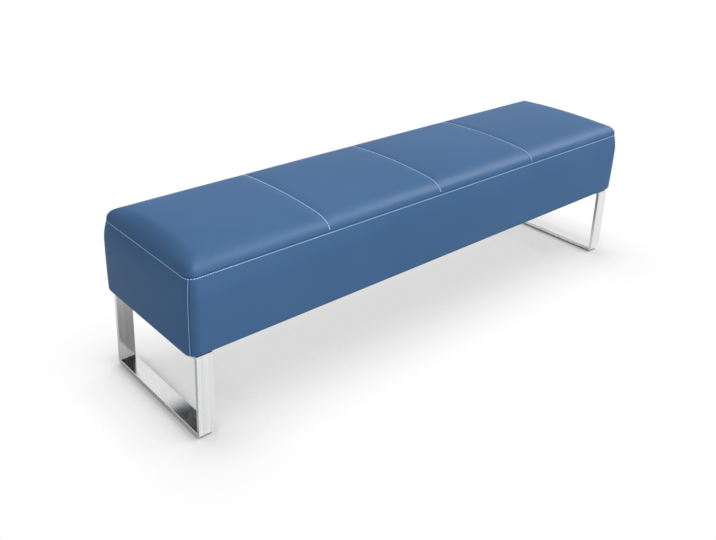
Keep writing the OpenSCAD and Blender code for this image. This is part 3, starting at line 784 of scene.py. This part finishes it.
studio = {
    "floorSize": 60, "floorTone": "#f4f4f4", "floorBounce": 0.70,
    "paintedShadowReach": 0.26,            # painted shadow: the seen floor is darkened by occlusion within this distance of the bench
    "contactReach": 0.05,           # and within this one it also shows the key's own shadow
    "shadowSamples": 12,
    "sky": 0.54,                    # even light
    "skyTilt": (0.15, -0.09, 0.04),   # a little stronger from the right, the front and above
    "key": ((0.62, -0.33, 0.71), 2.63, 50),   # where it shines from, strength, spread in degrees
    "gloss": ((0.62, -0.26, 0.74), 11, 36),
}

bpy.ops.mesh.primitive_plane_add(size=studio["floorSize"], location=(0, 0, 0))
floor = bpy.context.object
floor.name = "studio_floor"


def seenRays(tree):
    # the light path, and 1 for rays that show a surface to the camera, in mirrors and glass too
    rays = addNode(tree, "ShaderNodeLightPath").outputs
    seen = addNode(tree, "ShaderNodeMath", {"operation": "MAXIMUM"},
                   {0: rays["Is Camera Ray"], 1: rays["Is Glossy Ray"]})
    seen = addNode(tree, "ShaderNodeMath", {"operation": "MAXIMUM"},
                   {0: seen.outputs[0], 1: rays["Is Transmission Ray"]})
    return rays, seen.outputs[0]


def floorMaterial():
    # pale paper sweep: seen white with a painted soft shadow from occlusion, the key's real shadow close
    # to the bench, and a duller bounce on to the bench
    made = bpy.data.materials.new("paper_sweep")
    made.use_nodes = True
    tree = made.node_tree
    tree.nodes.clear()
    rays, seen = seenRays(tree)
    paper = addNode(tree, "ShaderNodeBsdfDiffuse", links={"Color": linear(studio["floorTone"])})
    bounce = addNode(tree, "ShaderNodeBsdfDiffuse",
                     links={"Color": [studio["floorBounce"]] * 3 + [1]})
    # both of these are 1 on open floor, and less where something stands within their reach
    wide, close = [addNode(tree, "ShaderNodeAmbientOcclusion", {"samples": studio["shadowSamples"]},
                           {"Distance": studio[reach]}).outputs
                   for reach in ("paintedShadowReach", "contactReach")]
    # painted shadow: the floor glows white for the camera, darkened by occlusion near the bench
    white = addNode(tree, "ShaderNodeEmission", links={"Color": wide["Color"], "Strength": 1.0})
    contact = addNode(tree, "ShaderNodeMath", {"operation": "SUBTRACT"}, {0: 1.0, 1: close["AO"]})
    lit = addNode(tree, "ShaderNodeMath", {"operation": "MAXIMUM"},
                  {0: rays["Is Glossy Ray"], 1: contact.outputs[0]})
    shown = addNode(tree, "ShaderNodeMixShader",
                    links={0: lit.outputs[0], 1: white.outputs[0], 2: paper.outputs[0]})
    whole = addNode(tree, "ShaderNodeMixShader",
                    links={0: seen, 1: bounce.outputs[0], 2: shown.outputs[0]})
    addNode(tree, "ShaderNodeOutputMaterial", links={"Surface": whole.outputs[0]})
    return made


floor.data.materials.append(floorMaterial())

world = bpy.data.worlds.new("studio")
scene.world = world
world.use_nodes = True
tree = world.node_tree
tree.nodes.clear()
seen = seenRays(tree)[1]
direction = addNode(tree, "ShaderNodeTexCoord").outputs["Generated"]
tilt = addNode(tree, "ShaderNodeVectorMath", {"operation": "DOT_PRODUCT"},
               {0: direction, 1: studio["skyTilt"]})
level = addNode(tree, "ShaderNodeMath", {"operation": "ADD"},
                {0: tilt.outputs["Value"], 1: studio["sky"]})
lit = addNode(tree, "ShaderNodeBackground", links={"Color": [1, 1, 1, 1], "Strength": level.outputs[0]})
white = addNode(tree, "ShaderNodeBackground", links={"Color": [1, 1, 1, 1], "Strength": 1.0})
mixed = addNode(tree, "ShaderNodeMixShader",
                links={0: seen, 1: lit.outputs[0], 2: white.outputs[0]})
addNode(tree, "ShaderNodeOutputWorld", links={"Surface": mixed.outputs[0]})


def sunLamp(name, source, strength, spread):
    # a wide soft lamp far away, so that the whole floor is lit evenly
    lamp = bpy.data.lights.new(name, "SUN")
    lamp.energy = strength
    lamp.angle = math.radians(spread)
    made = bpy.data.objects.new(name, lamp)
    scene.collection.objects.link(made)
    made.rotation_mode = "QUATERNION"
    made.rotation_quaternion = Vector(source).to_track_quat("Z", "Y")
    return made


keyLamp = sunLamp("key_softbox", *studio["key"])
keyLamp.visible_glossy = False      # the chrome mirrors the white sweep and not the lamp
glossLamp = sunLamp("cover_gloss", *studio["gloss"])
glossLamp.visible_diffuse = False   # this one only gives the cover its satin highlight
satin = bpy.data.collections.new("satin_cover")
for piece, node, fullness in coverPieces:
    satin.objects.link(piece)
glossLamp.light_linking.receiver_collection = satin


def photoCamera():
    # where the photograph was taken from; its frame is 716 x 540 pixels
    view = {
        "place": (-1.57002, -1.54757, 1.26619), "yaw": -0.73898, "pitch": 0.36224, "roll": 0.0397,
        "focal": 845.857, "centre": (358.0, 160.0), "frame": (716, 540),
        "sensor": 36, "clip": (0.05, 200),
    }
    yaw, pitch, roll = view["yaw"], view["pitch"], view["roll"]
    ahead = Vector((-math.sin(yaw) * math.cos(pitch), math.cos(yaw) * math.cos(pitch), -math.sin(pitch)))
    right = Vector((math.cos(yaw), math.sin(yaw), 0))
    up = right.cross(ahead)
    tiltedRight = right * math.cos(roll) + up * math.sin(roll)
    tiltedUp = up * math.cos(roll) - right * math.sin(roll)
    data = bpy.data.cameras.new("photo_camera")
    width, height = view["frame"]
    data.sensor_width = view["sensor"]
    data.lens = view["focal"] / width * view["sensor"]
    data.shift_x = (width / 2 - view["centre"][0]) / width
    data.shift_y = (view["centre"][1] - height / 2) / width
    data.clip_start, data.clip_end = view["clip"]
    made = bpy.data.objects.new("photo_camera", data)
    scene.collection.objects.link(made)
    turn = Matrix([tiltedRight, tiltedUp, -ahead]).transposed().to_4x4()
    made.matrix_world = Matrix.Translation(view["place"]) @ turn
    scene.camera = made


photoCamera()
scene.view_settings.view_transform = "Standard"

print("scene ready")
